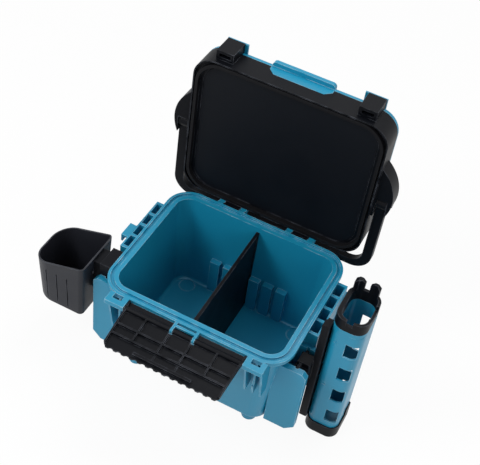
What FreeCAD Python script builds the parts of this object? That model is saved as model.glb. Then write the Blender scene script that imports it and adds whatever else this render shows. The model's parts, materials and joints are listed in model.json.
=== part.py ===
"""Fishing seat box: tub, hinged lid with bail handle, front latch, divider,
drink holder and rod stand.  Millimetres, Z up, the front faces -Y.

The lid and all that it carries are drawn shut and then swung open about the
hinge; the latch is drawn flat and then turned to its open angle.
"""
import FreeCAD
import Part
import Sketcher
import os
import re

V = FreeCAD.Vector

SIZES = {
    # the part's origin is under the middle of its outline
    "frame_x": 21.5, "frame_y": 5.15,
    # tub
    "open_width": 269, "open_depth": 214, "open_radius": 24,
    "rim_height": 194, "inner_depth": 175, "tub_taper": 9,
    "tub_wall": 2.6, "floor_thick": 3.2, "floor_fillet": 6, "base_fillet": 9,
    "band_width": 7, "groove_width": 5.5, "upstand_width": 4,
    "groove_depth": 3.2, "flange_depth": 6.5,
    "foot_side": 33.5, "foot_end": 25, "foot_radius": 12, "pad_thick": 2, "pad_radius": 9,
    "ring_radius": 14, "ring_width": 1.4, "ring_high": 0.9,
    # fins and accessory bay at the sides
    "fin_proud": 11, "fin_thick": 10, "fin_end": 15, "fin_back_end": 19,
    "fin_drop": 31, "fin_base": 22, "fin_round": 14, "fin_sink": 6.5,
    "mid_fin_y": 43, "mid_fin_thick": 8, "mid_fin_proud": 8, "mid_fin_base": 70,
    "shelf_top": 116, "shelf_thick": 6, "shelf_set": 2,
    "bay_groove_set": 10, "bay_groove_wide": 5, "bay_groove_deep": 2.4, "bay_gap": 0.3,
    # rails with pockets
    "rail_side": 12.5, "rail_wide": 19, "rail_gap": 0.2,
    "rail_high": 35, "rail_drop": 7, "rail_wall": 3, "pocket_count": 4,
    "pocket_length": 21.5, "pocket_pitch": 27, "pocket_first": 29.5,
    "tab_front": 14, "tab_length": 28, "tab_reach": 11, "tab_drop": 14, "tab_thick": 4,
    # divider
    "divider_thick": 3, "divider_edge": 5.4, "divider_drop": 9, "divider_gap": 0.4,
    "guide_pitch": 24, "guide_thick": 17.6, "guide_depth": 7, "guide_height": 69,
    # front ears, loop and latch
    "ear_side": 38.5, "ear_wide": 31, "ear_out": 35, "ear_thick": 8,
    "hole_side": 8.5, "hole_wide": 14.5, "hole_end": 9, "hole_deep": 9,
    "rib_thick": 3, "rib_length": 74, "rib_reach": 12, "rib_inset": 1.5,
    "latch_out": 30.5, "latch_drop": 4, "pin_radius": 1.6, "pin_play": 0.06,
    "loop_x": 17.5, "loop_arm": 4.2, "loop_eye": 4.6, "loop_top": 3.9, "bar_back": 7.9,
    "bar_thick": 4, "bar_gap": 0.25,
    "latch_side": 1.2, "latch_narrow": 3.2, "latch_heel": 12.4, "latch_length": 67,
    "latch_corner": 5, "latch_plate": 2.5, "latch_low": 4, "latch_rib": 4.4,
    "latch_barrel": 4.2, "latch_wall": 2.6,
    "inner_cross_rib": 27, "outer_cross_rib": 43.5, "long_rib": 57,
    "hook_at": 57, "hook_thick": 4.5, "hook_half": 46, "low_rib": 1,
    "grip_pitch": 13, "grip_radius": 5.2, "grip_bite": 2, "slot_play": 0.8,
    "latch_droop": 8,
    # hinge
    "hinge_out": 21, "hinge_drop": 8, "hinge_x": 60, "hinge_wide": 48,
    "hinge_pin": 2.2, "hinge_play": 0.06, "knuckle_radius": 5, "knuckle_gap": 0.4,
    "cheek_thick": 10, "cheek_gap": 0.5,
    "stop_out": 21, "stop_gap": 0.25, "stop_high": 24, "stop_bevel": 8, "stop_lip": 5,
    "open_angle": 91,
    # lid
    "lid_side": 20.5, "lid_end": 19, "skirt_lift": 2,
    "lid_lift": 8, "lid_radius": 34, "frame_high": 34, "frame_wall": 4,
    "skirt_wall": 2, "rim_clear": 2, "web_thick": 4.5,
    "panel_side": 16, "panel_end": 10.5, "panel_thick": 2.6, "panel_radius": 32,
    "panel_gap": 0.8, "window_margin": 13, "window_radius": 27,
    "seal_inner": 10.8, "seal_width": 5, "seal_depth": 3.2, "seal_gap": 0.3,
    "seal_play": 0.1,
    "cover_gap": 0.2, "cover_high": 11, "cover_round": 8, "top_thick": 3,
    "seat_margin": 30, "seat_sink": 1.6, "seat_radius": 20, "tread_count": 7,
    "tread_wide": 5, "tread_pitch": 26, "tread_margin": 14,
    "tongue_half": 50, "tongue_set": 4.1, "tongue_thick": 7, "tongue_drop": 1.5,
    "tongue_round": 6, "apron_high": 16, "apron_bevel": 10,
    "block_side": 2, "block_wide": 28, "block_out": 15, "block_lift": 4,
    "block_over": 7, "pocket_inset": 4.5, "pocket_deep": 24, "tab_lip": 5.2,
    # handle
    "boss_out": 27.5, "boss_bulge": 71, "boss_front": 60, "boss_rear": 37,
    "boss_mid": 2, "boss_high": 25, "pivot_y": 14, "pivot_lift": 11.5,
    "arm_side": 4.2, "arm_wide": 15.8, "arm_height": 11.5, "hub_radius": 10,
    "handle_out": 31, "handle_round": 32, "bar_width": 11.5, "slot_gap": 0.7,
    "grip_half": 58, "grip_grow": 2.2, "grip_round": 5, "pivot_pin": 3,
    "pivot_play": 0.06,
    # drink holder
    "cup_side": 2.5, "cup_wide": 94, "cup_front": 110, "cup_rear": 22,
    "cup_base": 74, "cup_high": 185, "cup_low": 158, "cup_taper": 4,
    "cup_radius": 8, "cup_round": 30, "cup_fillet": 5, "cup_wall": 2.4, "cup_floor": 3,
    "plug_proud": 6, "plug_drop": 1, "cup_strap_low": 120,
    "flute_first": 28, "flute_pitch": 18.5, "flute_wide": 1.6, "flute_deep": 0.9,
    # rod stand
    "stand_side": 1.5, "stand_wide": 49, "stand_front": 55, "stand_back": 11,
    "stand_round": 14, "stand_wall": 2.6, "stand_over": 6, "stand_base": 2,
    "collar_side": 0.8, "collar_grow": 2, "collar_thick": 8, "collar_round": 18,
    "crown_height": 20, "crown_wall": 4.5, "crown_left_wall": 7.2, "crown_dip": 8, "dip_end": 20,
    "prong_height": 19, "prong_wide": 15, "prong_deep": 9, "prong_bevel": 5,
    "prong_inset": 8, "gate_side": 27, "gate_wall": 3.5, "gate_height": 28,
    "gate_pitch": 53, "gate_first": 194, "notch_high": 6, "notch_deep": 1.2,
      "post_front": 57, "post_depth": 18,
    "post_low": 24, "step_high": 9, "cap_height": 22, "cap_wall": 2.4,
    "heel_high": 12, "heel_wide": 18, "fit_gap": 0.2,
}

# sizes that follow from those, so that the pieces keep their fit
FITTED = {
    "hinge_y": "open_depth / 2 + hinge_out",
    "hinge_z": "rim_height - hinge_drop",
    "stop_y": "hinge_y + stop_out",
    "stop_base": "rim_height - stop_high",
    "latch_y": "open_depth / 2 + latch_out",
    "latch_z": "rim_height - latch_drop",
    "bar_y": "latch_y - bar_back",
    "foot_x": "open_width / 2 - foot_side",
    "foot_y": "open_depth / 2 - foot_end",
    "ear_inner": "open_width / 2 - ear_side",
    "ear_outer": "ear_inner + ear_wide",
    "ear_front": "open_depth / 2 + ear_out",
    "hole_inner": "ear_inner + hole_side",
    "hole_outer": "hole_inner + hole_wide",
    "hole_front": "ear_front - hole_end",
    "hole_back": "hole_front - hole_deep",
    "latch_half": "ear_inner - latch_side",
    "rail_inner": "open_width / 2 + rail_side",
    "rail_outer": "rail_inner + rail_wide",
    "rail_top": "rim_height - rail_drop",
    "rail_base": "rail_top - rail_high",
    "fin_root": "open_width / 2 - fin_sink",
    "fin_reach": "rail_outer + fin_proud",
    "fin_front": "open_depth / 2 - fin_end",
    "fin_back": "open_depth / 2 - fin_back_end",
    "fin_top": "rim_height - fin_drop",
    "mid_fin_reach": "rail_outer + mid_fin_proud",
    "shelf_reach": "rail_outer - shelf_set",
    "bay_groove_x": "rail_outer - bay_groove_set",
    "lid_half": "open_width / 2 + lid_side",
    "lid_front": "open_depth / 2 + lid_end",
    "lid_rear": "lid_front",
    "lid_low": "rim_height + skirt_lift",
    "lid_under": "rim_height + lid_lift",
    "frame_top": "lid_under + frame_high",
    "cover_top": "frame_top + cover_high",
    "panel_half": "lid_half - panel_side",
    "panel_front": "lid_front - panel_end",
    "tongue_front": "latch_y - tongue_set",
    "tongue_top": "cover_top - tongue_drop",
    "tongue_low": "tongue_top - tongue_thick",
    "apron_low": "frame_top - apron_high",
    "block_inner": "ear_inner + block_side",
    "block_outer": "block_inner + block_wide",
    "block_front": "lid_front + block_out",
    "block_low": "lid_under + block_lift",
    "block_top": "frame_top + block_over",
    "boss_reach": "lid_half + boss_out",
    "boss_low": "lid_under",
    "boss_top": "boss_low + boss_high",
    "pivot_z": "lid_under + pivot_lift",
    "arm_inner": "lid_half + arm_side",
    "arm_outer": "arm_inner + arm_wide",
    "handle_rear": "lid_rear + handle_out",
    "cup_inner": "boss_reach + cup_side",
    "cup_outer": "cup_inner + cup_wide",
    "cup_plug": "rail_outer + plug_proud",
    "cup_plug_top": "rail_top - plug_drop",
    "stand_left": "boss_reach + stand_side",
    "stand_right": "stand_left + stand_wide",
    "stand_top": "frame_top + stand_over",
    "collar_left": "boss_reach + collar_side",
    "gate_left": "stand_left + gate_side",
    "bracket_top": "rail_base",
    "post_left": "rail_outer + plug_proud",
}

NAMED = {**SIZES, **FITTED}

doc = FreeCAD.newDocument("FishingSeatBox")
sheet = doc.addObject("Spreadsheet::Sheet", "Sizes")
for row, (alias, size) in enumerate(SIZES.items(), start=1):
    sheet.set(f"A{row}", alias)
    sheet.set(f"B{row}", str(size))
    sheet.setAlias(f"B{row}", alias)
for row, (alias, formula) in enumerate(FITTED.items(), start=len(SIZES) + 1):
    sheet.set(f"A{row}", alias)
    sheet.set(f"B{row}", "=" + formula)
    sheet.setAlias(f"B{row}", alias)
doc.recompute()

NODES = {}


def ex(text):
    """A size formula written with bare names, as the sheet's own expression."""
    return re.sub(r"[a-z]\w*", lambda m: "Sizes." + m[0] if m[0] in NAMED else m[0], text)


def value(text):
    """The number that a size formula gives now."""
    return float(sheet.evalExpression(ex(text)))


def bind(thing, **formulas):
    for prop, text in formulas.items():
        thing.setExpression("." + prop.replace("_", "."), ex(text))
    return thing


def place(thing, x, y, z):
    thing.setExpression(".Placement.Base.x", ex(x))
    thing.setExpression(".Placement.Base.y", ex(y))
    thing.setExpression(".Placement.Base.z", ex(z))
    return thing


def box(name, x, y, z):
    """A box given by its (low, high) formulas along each axis."""
    block = doc.addObject("Part::Box", name)
    bind(block, Length=f"({x[1]}) - ({x[0]})", Width=f"({y[1]}) - ({y[0]})",
         Height=f"({z[1]}) - ({z[0]})")
    return place(block, x[0], y[0], z[0])


def cylinder(name, along, start, radius, length):
    """A cylinder from start towards +X or +Z."""
    rod = doc.addObject("Part::Cylinder", name)
    bind(rod, Radius=radius, Height=length)
    if along == "x":
        rod.Placement.Rotation = FreeCAD.Rotation(V(0, 1, 0), 90)
    return place(rod, *start)


def upright(shape):
    """Names of the edges that stand along Z."""
    return [f"Edge{i}" for i, e in enumerate(shape.Edges, 1)
            if e.BoundBox.XLength + e.BoundBox.YLength < 1e-6]


def rounded(name, x, y, z, radius, chosen=None, crest=None):
    """A box with rounded standing edges, or those that chosen(centre) keeps.

    The edges round its top take the radius crest, if one is given.
    """
    body = doc.addObject("PartDesign::Body", name)
    block = body.newObject("PartDesign::AdditiveBox", name + "Block")
    bind(block, Length=f"({x[1]}) - ({x[0]})", Width=f"({y[1]}) - ({y[0]})",
         Height=f"({z[1]}) - ({z[0]})")
    doc.recompute()
    names = upright(block.Shape)
    if chosen:
        names = [n for n in names if chosen(block.Shape.getElement(n).BoundBox.Center)]
    edges = body.newObject("PartDesign::Fillet", name + "Round")
    edges.Base = (block, names)
    edges.setExpression("Radius", ex(radius))
    if crest:
        doc.recompute()
        top = max(e.BoundBox.ZMin for e in edges.Shape.Edges)
        around = [f"Edge{i}" for i, e in enumerate(edges.Shape.Edges, 1)
                  if top - e.BoundBox.ZMin < 1e-3]
        brow = body.newObject("PartDesign::Fillet", name + "Crest")
        brow.Base = (edges, around)
        brow.setExpression("Radius", ex(crest))
        edges = brow
    body.Tip = edges
    return place(body, x[0], y[0], z[0])


def on_plane(body, role, height, name):
    sketch = body.newObject("Sketcher::SketchObject", name)
    side = next(f for f in body.Origin.OriginFeatures if f.Role == role)
    sketch.AttachmentSupport = [(side, "")]
    sketch.MapMode = "FlatFace"
    sketch.setExpression(".AttachmentOffset.Base.z", ex(height))
    return sketch


def prism(name, role, start, length, points):
    """A straight-sided outline on an origin plane, padded along its normal."""
    body = doc.addObject("PartDesign::Body", name)
    sketch = on_plane(body, role, start, name + "Outline")
    corners = [V(value(a), value(b), 0) for a, b in points]
    count = len(points)
    for i in range(count):
        sketch.addGeometry(Part.LineSegment(corners[i], corners[(i + 1) % count]), False)
    for i in range(count):
        sketch.addConstraint(Sketcher.Constraint("Coincident", i, 2, (i + 1) % count, 1))
    for i, pair in enumerate(points):
        for kind, text, now in zip(("DistanceX", "DistanceY"), pair, corners[i]):
            held = sketch.addConstraint(Sketcher.Constraint(kind, -1, 1, i, 1, now))
            sketch.setExpression(f"Constraints[{held}]", ex(text))
    pad = body.newObject("PartDesign::Pad", name + "Pad")
    pad.Profile = sketch
    pad.setExpression("Length", ex(length))
    body.Tip = pad
    return body


def tapered(name, low, high, radius, fillet, outer=None):
    """A tapering box with rounded edges; low and high are its (z, x, y).

    The two standing edges at its +X end take the radius outer, if one is given.
    """
    body = doc.addObject("PartDesign::Body", name)
    wedge = body.newObject("PartDesign::AdditiveWedge", name + "Wedge")
    (z0, x0, y0), (z1, x1, y1) = low, high
    bind(wedge, Ymin=z0, Ymax=z1, Xmin=x0[0], Xmax=x0[1], X2min=x1[0], X2max=x1[1],
         Zmin=f"-({y0[1]})", Zmax=f"-({y0[0]})", Z2min=f"-({y1[1]})", Z2max=f"-({y1[0]})")
    doc.recompute()
    corners = [f"Edge{i}" for i, e in enumerate(wedge.Shape.Edges, 1)
               if e.BoundBox.YLength > 1e-3]
    if outer:
        middle = wedge.Shape.BoundBox.Center.x
        far = [n for n in corners if wedge.Shape.getElement(n).BoundBox.Center.x > middle]
        ends = body.newObject("PartDesign::Fillet", name + "Ends")
        ends.Base = (wedge, far)
        ends.setExpression("Radius", ex(outer))
        doc.recompute()
        corners = [f"Edge{i}" for i, e in enumerate(ends.Shape.Edges, 1)
                   if e.BoundBox.YLength > 1e-3 and len(e.Vertexes) == 2
                   and e.BoundBox.XMax < middle]
        wedge = ends
    sides = body.newObject("PartDesign::Fillet", name + "Sides")
    sides.Base = (wedge, corners)
    sides.setExpression("Radius", ex(radius))
    doc.recompute()
    floor = min(e.BoundBox.YMax for e in sides.Shape.Edges)
    around = [f"Edge{i}" for i, e in enumerate(sides.Shape.Edges, 1)
              if e.BoundBox.YMax - floor < 1e-3]
    foot = body.newObject("PartDesign::Fillet", name + "Foot")
    foot.Base = (sides, around)
    foot.setExpression("Radius", ex(fillet))
    body.Tip = foot
    body.Placement.Rotation = FreeCAD.Rotation(V(1, 0, 0), 90)
    return body


def fuse(name, *parts):
    joined = doc.addObject("Part::MultiFuse", name)
    joined.Shapes = list(parts)
    joined.Refine = True
    return joined


def cut(name, base, *tools):
    result = doc.addObject("Part::Cut", name)
    result.Base = base
    result.Tool = tools[0] if len(tools) == 1 else fuse(name + "Tools", *tools)
    result.Refine = True
    return result


def common(name, base, tool):
    both = doc.addObject("Part::Common", name)
    both.Base = base
    both.Tool = tool
    return both


def mirrored(name, source):
    copy = doc.addObject("Part::Mirroring", name)
    copy.Source = source
    copy.Normal = V(1, 0, 0)
    return copy


def both_sides(name, source):
    """The piece at +X and its mirror image, as a list of two."""
    return [source, mirrored(name + "Mirror", source)]


def node(label, thing, turn=None):
    """Holds a finished piece in the part's frame, turned if turn is (angle, y, z)."""
    held = doc.addObject("Part::Compound", thing.Name + "Placed")
    held.Links = [thing]
    held.Label = label
    y, z = "frame_y", "0"
    if turn:
        angle, cy, cz = (f"({text})" for text in turn)
        held.Placement.Rotation = FreeCAD.Rotation(V(-1, 0, 0), value(angle))
        held.setExpression(".Placement.Rotation.Angle", ex(angle))
        y = f"frame_y + {cy} - {cy} * cos({angle}) - {cz} * sin({angle})"
        z = f"{cz} + {cy} * sin({angle}) - {cz} * cos({angle})"
    place(held, "frame_x", y, z)
    NODES[label] = held


# formulas that several pieces share
RIM_REACH = "band_width + groove_width + upstand_width"
GROOVE_REACH = "band_width + groove_width"
FLANGE_LOW = "rim_height - flange_depth"
FLOOR = "rim_height - inner_depth"
RIM_FRONT = f"-open_depth / 2 - ({RIM_REACH})"
OPEN_LID = ("open_angle", "hinge_y", "hinge_z")


def span(half, extra="0"):
    """(low, high) formulas of something centred on zero."""
    return f"-({half}) - ({extra})", f"({half}) + ({extra})"


def tub_section(extra, height):
    """Width and depth of the tapered tub at a height, grown by extra."""
    shrink = f"tub_taper * (rim_height - ({height})) / inner_depth"
    return (span("open_width / 2", f"{extra} - {shrink}"),
            span("open_depth / 2", f"{extra} - {shrink}"))


def rim_ring(name, grow, z):
    return rounded(name, span("open_width / 2", grow), span("open_depth / 2", grow), z,
                   f"open_radius + {grow}")


def fin(name, y, reach, base, top):
    """A standing plate on the right side; its outer edges are rounded."""
    body = prism(name, "XZ_Plane", f"-({y[1]})", f"({y[1]}) - ({y[0]})",
                 [("fin_root", base), (f"{reach} - fin_round", base),
                  (reach, f"{base} + fin_round"), (reach, f"{top} - fin_round / 2"),
                  (f"{reach} - fin_round / 2", top), ("fin_root", top)])
    return body


def make_tub():
    low = f"{FLOOR} - floor_thick"
    over = "rim_height + 12"
    outside = tapered("TubOutside", (low, *tub_section("tub_wall", low)),
                      ("rim_height", *tub_section("tub_wall", "rim_height")),
                      "open_radius + tub_wall", "base_fillet")
    hollow = tapered("TubHollow", (FLOOR, *tub_section("0", FLOOR)),
                     (over, *tub_section("0", over)), "open_radius", "floor_fillet")
    flange = rim_ring("RimFlange", RIM_REACH, (FLANGE_LOW, "rim_height"))
    trough = rim_ring("RimTrough", GROOVE_REACH, ("rim_height - groove_depth", over))
    band = rim_ring("RimBand", "band_width", (FLANGE_LOW, "rim_height"))
    rim = fuse("Rim", cut("RimOuter", flange, trough), band)
    added = [outside, rim]
    front_fin = fin("FrontFin", ("-fin_front", "-fin_front + fin_thick"), "fin_reach",
                    "fin_base", "fin_top")
    back_fin = fin("BackFin", ("fin_back - fin_thick", "fin_back"), "fin_reach",
                   "fin_base", "fin_top")
    mid_fin = fin("MidFin", ("-mid_fin_y", "-mid_fin_y + mid_fin_thick"), "mid_fin_reach",
                  "mid_fin_base", "fin_top")
    shelf = box("BayShelf", ("fin_root", "shelf_reach"),
                ("-fin_front + 1", "-mid_fin_y + 1"),
                ("shelf_top - shelf_thick", "shelf_top"))
    rail_shelf = box("RailShelf", ("fin_root", "rail_outer - 1"),
                     ("-mid_fin_y + 1", "fin_back - 1"),
                     ("rail_base - rail_gap - shelf_thick", "rail_base - rail_gap"))
    for piece in (front_fin, back_fin, mid_fin, shelf, rail_shelf):
        added += both_sides(piece.Name, piece)
    added += both_sides("Ear", make_ear())
    added += make_loop()
    added += both_sides("HingeSeat", make_hinge_seat())
    for i, (sx, sy) in enumerate(((1, 1), (1, -1), (-1, 1), (-1, -1))):
        added.append(cylinder(f"Foot{i}", "z", (f"{sx} * foot_x", f"{sy} * foot_y", "pad_thick"),
                              "foot_radius", f"{low} - pad_thick + 1"))
    solid = cut("TubOpened", fuse("TubSolid", *added), hollow)

    guided = fuse("TubGuided", solid, *make_guides(), *make_floor_rings())
    groove = box("BayGroove", ("bay_groove_x", "bay_groove_x + bay_groove_wide"),
                 ("-fin_front + fin_thick - bay_groove_deep",
                  "-mid_fin_y + bay_groove_deep"), ("shelf_top", "fin_top + 1"))
    eye = box("EarHole", ("hole_inner", "hole_outer"), ("-hole_front", "-hole_back"),
              ("rim_height - 60", "rim_height + 10"))
    latch_bore = cylinder("LatchBore", "x", ("-ear_outer - 1", "-latch_y", "latch_z"),
                          "pin_radius", "2 * ear_outer + 2")
    hinge_bore = cylinder("HingeBore", "x",
                          ("hinge_x - hinge_wide / 2 - 1", "hinge_y", "hinge_z"),
                          "hinge_pin", "hinge_wide + 2")
    room = cylinder("KnuckleRoom", "x",
                    ("hinge_x - hinge_wide / 2 + cheek_thick", "hinge_y", "hinge_z"),
                    "knuckle_radius + knuckle_gap", "hinge_wide - 2 * cheek_thick")
    tools = [latch_bore]
    for piece in (groove, eye, hinge_bore, room):
        tools += both_sides(piece.Name, piece)
    node("tub_shell", cut("Tub", guided, *tools))


def make_floor_rings():
    """Raised rings on the floor above the feet."""
    rings = []
    for i, (sx, sy) in enumerate(((1, 1), (1, -1), (-1, 1), (-1, -1))):
        start = (f"{sx} * foot_x", f"{sy} * foot_y", f"{FLOOR} - 1")
        rings.append(cut(f"FloorRing{i}",
                         cylinder(f"RingOut{i}", "z", start, "ring_radius", "1 + ring_high"),
                         cylinder(f"RingIn{i}", "z", start, "ring_radius - ring_width",
                                  "2 + ring_high")))
    return rings


def make_ear():
    """An eye plate in front of the rim that carries the latch pin, on two ribs."""
    plate = box("EarPlate", ("ear_inner", "ear_outer"), ("-ear_front", RIM_FRONT + " + 1"),
                ("rim_height - ear_thick", "rim_height"))
    reach = "-open_depth / 2 + tub_taper / 2"
    top = "rim_height - ear_thick + 1"
    ribs = [prism(f"EarRib{i}", "YZ_Plane", x, "rib_thick",
                  [(reach, top), (f"{RIM_FRONT} - rib_reach", top),
                   (f"{RIM_FRONT} + 2", f"{top} - rib_length"),
                   (reach, f"{top} - rib_length")])
            for i, x in enumerate(("ear_inner + rib_inset",
                                   "(ear_inner + ear_outer - rib_thick) / 2",
                                   "ear_outer - rib_inset - rib_thick"))]
    return fuse("EarWhole", plate, *ribs)


def make_loop():
    """The centre loop: two arms whose eyes hold the latch, and a cross bar."""
    parts = []
    for side in (1, -1):
        low = f"{side} * loop_x - loop_arm / 2"
        arm = box(f"LoopArm{side}", (low, f"{low} + loop_arm"),
                  ("-latch_y", RIM_FRONT + " + 1"),
                  ("latch_z - loop_eye + 1", "latch_z + loop_top"))
        eye = cylinder(f"LoopEye{side}", "x", (low, "-latch_y", "latch_z"), "loop_eye",
                       "loop_arm")
        parts += [arm, eye]
    parts.append(box("LoopBar", span("loop_x"),
                     ("-bar_y - bar_thick / 2", "-bar_y + bar_thick / 2"),
                     (bar_under(), "latch_z + loop_top")))
    return parts


def bar_under():
    """Underside of the loop's bar: the open latch's heel rests just below it."""
    back = "(latch_y - bar_y + bar_thick / 2)"
    return ("latch_z - (latch_low - latch_plate) * cos(latch_droop)"
            f" + {back} * sin(latch_droop) + bar_gap")


def make_hinge_seat():
    """Two cheeks for the hinge pin, run back to the pads that stop the lid."""
    parts = []
    rest = "(hinge_y - lid_rear + (stop_y - hinge_y) * cos(open_angle)) / sin(open_angle)"
    for i, start in enumerate(("hinge_x - hinge_wide / 2",
                               "hinge_x + hinge_wide / 2 - cheek_thick")):
        across = (start, f"{start} + cheek_thick")
        eye = cylinder(f"CheekEye{i}", "x", (start, "hinge_y", "hinge_z"), "knuckle_radius",
                       "cheek_thick")
        root = box(f"CheekRoot{i}", across, ("open_depth / 2 - 2", "hinge_y"),
                   ("hinge_z - knuckle_radius", "hinge_z + knuckle_radius"))
        back = prism(f"CheekStop{i}", "YZ_Plane", start, "cheek_thick",
                     [("open_depth / 2 - 2", "stop_base"),
                      ("stop_y - stop_bevel", "stop_base + stop_bevel"),
                      ("stop_y", f"hinge_z + {rest} - stop_gap - stop_lip"),
                      ("stop_y", f"hinge_z + {rest} - stop_gap"),
                      ("open_depth / 2 - 2", f"hinge_z + {rest} - stop_gap")])
        parts += [eye, root, back]
    return fuse("HingeSeat", *parts)


def make_guides():
    """Ribs on the front and back walls that hold the divider upright."""
    ribs = []
    for side in (1, -1):
        for step in (-2, -1, 0, 1, 2, 3):
            middle = f"guide_pitch * ({step} - 0.5)"
            wall = f"open_depth / 2 - tub_taper + 1"
            y = (f"{wall} - guide_depth", f"{wall} + tub_taper")
            if side < 0:
                y = (f"-({y[1]})", f"-({y[0]})")
            ribs.append(box(f"Guide{side}{step}".replace("-", "m"),
                            (f"{middle} - guide_thick / 2", f"{middle} + guide_thick / 2"), y,
                            (f"{FLOOR} - 1", f"{FLOOR} + guide_height")))
    room = tapered("GuideRoom", (f"{FLOOR} - 1", *tub_section("tub_wall / 2", FLOOR)),
                   ("rim_height", *tub_section("tub_wall / 2", "rim_height")),
                   "open_radius", "floor_fillet / 2")
    return [common("Guides", fuse("GuideRow", *ribs), room)]


def make_feet():
    for name, sx, sy in (("back_right", 1, 1), ("front_right", 1, -1),
                         ("back_left", -1, 1), ("front_left", -1, -1)):
        pad = cylinder("Pad" + name.replace("_", ""), "z",
                       (f"{sx} * foot_x", f"{sy} * foot_y", "0"), "pad_radius", "pad_thick")
        node("foot_pad_" + name, pad)


def make_rails():
    """Side rails with open pockets; the left one also carries a hook tab."""
    def rail(name, extra):
        bar = box(name + "Bar", ("rail_inner", "rail_outer"),
                  ("-mid_fin_y + mid_fin_thick + rail_gap", "fin_back - fin_thick - rail_gap"),
                  ("rail_base", "rail_top"))
        base = fuse(name + "Whole", bar, *extra) if extra else bar
        pockets = [box(f"{name}Pocket{i}", ("rail_inner + rail_wall", "rail_outer - rail_wall"),
                       (f"-pocket_first + {i} * pocket_pitch",
                        f"-pocket_first + {i} * pocket_pitch + pocket_length"),
                       ("rail_base + rail_wall", "rail_top + 1"))
                   for i in range(SIZES["pocket_count"])]
        return cut(name, base, *pockets)

    tab_y = ("-tab_front", "-tab_front + tab_length")
    plate = box("TabPlate", ("rail_outer - 1", "rail_outer + tab_reach"), tab_y,
                ("rail_top - tab_thick", "rail_top"))
    lip = box("TabLip", ("rail_outer + tab_reach - 3", "rail_outer + tab_reach"), tab_y,
              ("rail_top - tab_drop", "rail_top"))
    node("side_rail_right", rail("RailRight", []))
    node("side_rail_left", mirrored("RailLeftMirror", rail("RailLeft", [plate, lip])))


def make_divider():
    """A plate between front and back guides, thicker along its standing edges."""
    def depth(height, less):
        shrink = f"tub_taper * (rim_height - ({height})) / inner_depth"
        return f"open_depth / 2 - {shrink} - ({less})"

    low = f"{FLOOR} + divider_gap"
    top = "rim_height - divider_drop"
    lift = f"{low} + floor_fillet"
    foot = depth(FLOOR, "floor_fillet")
    ends = (lift, top)
    plate = prism("DividerPlate", "YZ_Plane", "-divider_thick / 2", "divider_thick",
                  [(f"-({foot})", low), (foot, low),
                   *((depth(z, "divider_gap"), z) for z in ends),
                   *((f"-({depth(z, 'divider_gap')})", z) for z in reversed(ends))])
    edges = []
    for name, side in (("Back", ""), ("Front", "-")):
        near = [(f"{side}({depth(z, 'divider_gap')})", z) for z in ends]
        far = [(f"{side}({depth(z, 'divider_gap + divider_edge')})", z) for z in reversed(ends)]
        edges.append(prism("DividerEdge" + name, "YZ_Plane", "-divider_edge / 2",
                           "divider_edge", near + far))
    grip = box("DividerTop", span("divider_edge / 2"), span(depth(top, "divider_gap + 1")),
               (f"{top} - 4", top))
    node("divider", fuse("Divider", plate, grip, *edges))


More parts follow.
